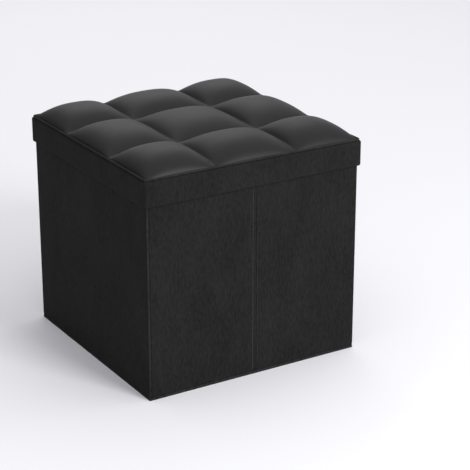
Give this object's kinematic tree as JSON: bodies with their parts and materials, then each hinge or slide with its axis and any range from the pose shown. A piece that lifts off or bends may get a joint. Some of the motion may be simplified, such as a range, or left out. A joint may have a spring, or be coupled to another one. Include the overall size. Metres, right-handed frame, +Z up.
{
  "type": "folding storage ottoman",
  "caption": "Folding cube ottoman: fabric-hinged board walls, bi-fold base and a lift-off lid with a quilted padded top and a stiff skirt.",
  "frame": {"origin": "middle of the footprint, on the floor", "axes": "+Z up; -Y is the front wall with the upright crease; -X is the solid left wall"},
  "size_m": [0.38, 0.38, 0.38],
  "materials": {
    "woven_cover": "matt woven polyester, charcoal",
    "satin_cover": "brushed satin polyester, charcoal, soft sheen",
    "nonwoven_lining": "thermally bonded non-woven, black",
    "fibreboard": "raw fibreboard",
    "foam": "open-cell polyurethane foam, cream",
    "staple_wire": "galvanised staple wire",
    "ribbon": "woven grosgrain ribbon, black"
  },
  "bodies": {
    "left_wall": {"left_board": "fibreboard", "left_cover": "woven_cover", "left_lining": "nonwoven_lining", "corner_front_left": "woven_cover", "corner_back_left": "woven_cover", "bottom_cloth": "nonwoven_lining", "bottom_binding": "nonwoven_lining"},
    "front_left": {"front_left_board": "fibreboard", "front_left_cover": "woven_cover", "front_left_lining": "nonwoven_lining", "front_crease": "woven_cover"},
    "front_right": {"front_right_board": "fibreboard", "front_right_cover": "woven_cover", "front_right_lining": "nonwoven_lining"},
    "right_wall": {"right_board": "fibreboard", "right_cover": "woven_cover", "right_lining": "nonwoven_lining", "corner_front_right": "woven_cover", "corner_back_right": "woven_cover"},
    "back_left": {"back_left_board": "fibreboard", "back_left_cover": "woven_cover", "back_left_lining": "nonwoven_lining", "back_crease": "woven_cover"},
    "back_right": {"back_right_board": "fibreboard", "back_right_cover": "woven_cover", "back_right_lining": "nonwoven_lining"},
    "base_left": {"base_left_board": "fibreboard", "base_left_wrap": "nonwoven_lining"},
    "base_right": {"base_right_board": "fibreboard", "base_right_wrap": "nonwoven_lining", "pull_ribbon": "ribbon"},
    "lid": {"lid_board": "fibreboard", "lid_rail_front": "fibreboard", "lid_rail_back": "fibreboard", "lid_rail_left": "fibreboard", "lid_rail_right": "fibreboard", "skirt_cover": "woven_cover", "welt": "satin_cover", "foam_pad": "foam", "quilted_cover": "satin_cover", "lid_lining": "nonwoven_lining", "lid_staples": "staple_wire"}
  },
  "joints": [
    {"name": "lid_lift", "type": "slide", "parent": "left_wall", "child": "lid", "axis": [0, 0, 1], "range_m": [0, 0.32]},
    {"name": "wall_fold", "type": "hinge", "parent": "left_wall", "child": "front_left", "pos_m": [-0.1729, -0.1805, 0.17], "axis": [0, 0, -1], "range_deg": [-90, 0], "deforming": ["bottom_cloth", "bottom_binding"]},
    {"name": "front_crease_fold", "type": "hinge", "parent": "front_left", "child": "front_right", "pos_m": [0, -0.1858, 0.17], "axis": [0, 0, -1], "range_deg": [0, 180]},
    {"name": "right_corner_fold", "type": "hinge", "parent": "front_right", "child": "right_wall", "pos_m": [0.1729, -0.1805, 0.17], "axis": [0, 0, -1], "range_deg": [-90, 0]},
    {"name": "back_corner_fold", "type": "hinge", "parent": "left_wall", "child": "back_left", "pos_m": [-0.1729, 0.1805, 0.17], "axis": [0, 0, -1], "range_deg": [0, 90]},
    {"name": "back_crease_fold", "type": "hinge", "parent": "back_left", "child": "back_right", "pos_m": [0, 0.1858, 0.17], "axis": [0, 0, -1], "range_deg": [-180, 0]},
    {"name": "base_fold", "type": "hinge", "parent": "left_wall", "child": "base_left", "pos_m": [-0.1802, 0, 0.0036], "axis": [0, 1, 0], "range_deg": [-90, 0]},
    {"name": "base_crease_fold", "type": "hinge", "parent": "base_left", "child": "base_right", "pos_m": [0, 0, 0.0005], "axis": [0, 1, 0], "range_deg": [0, 180]}
  ],
  "couplings": [
    {"joint": "front_crease_fold", "follows": "wall_fold", "ratio": -2},
    {"joint": "right_corner_fold", "follows": "wall_fold", "ratio": 1},
    {"joint": "back_corner_fold", "follows": "wall_fold", "ratio": -1},
    {"joint": "back_crease_fold", "follows": "wall_fold", "ratio": 2},
    {"joint": "base_crease_fold", "follows": "base_fold", "ratio": -2}
  ]
}
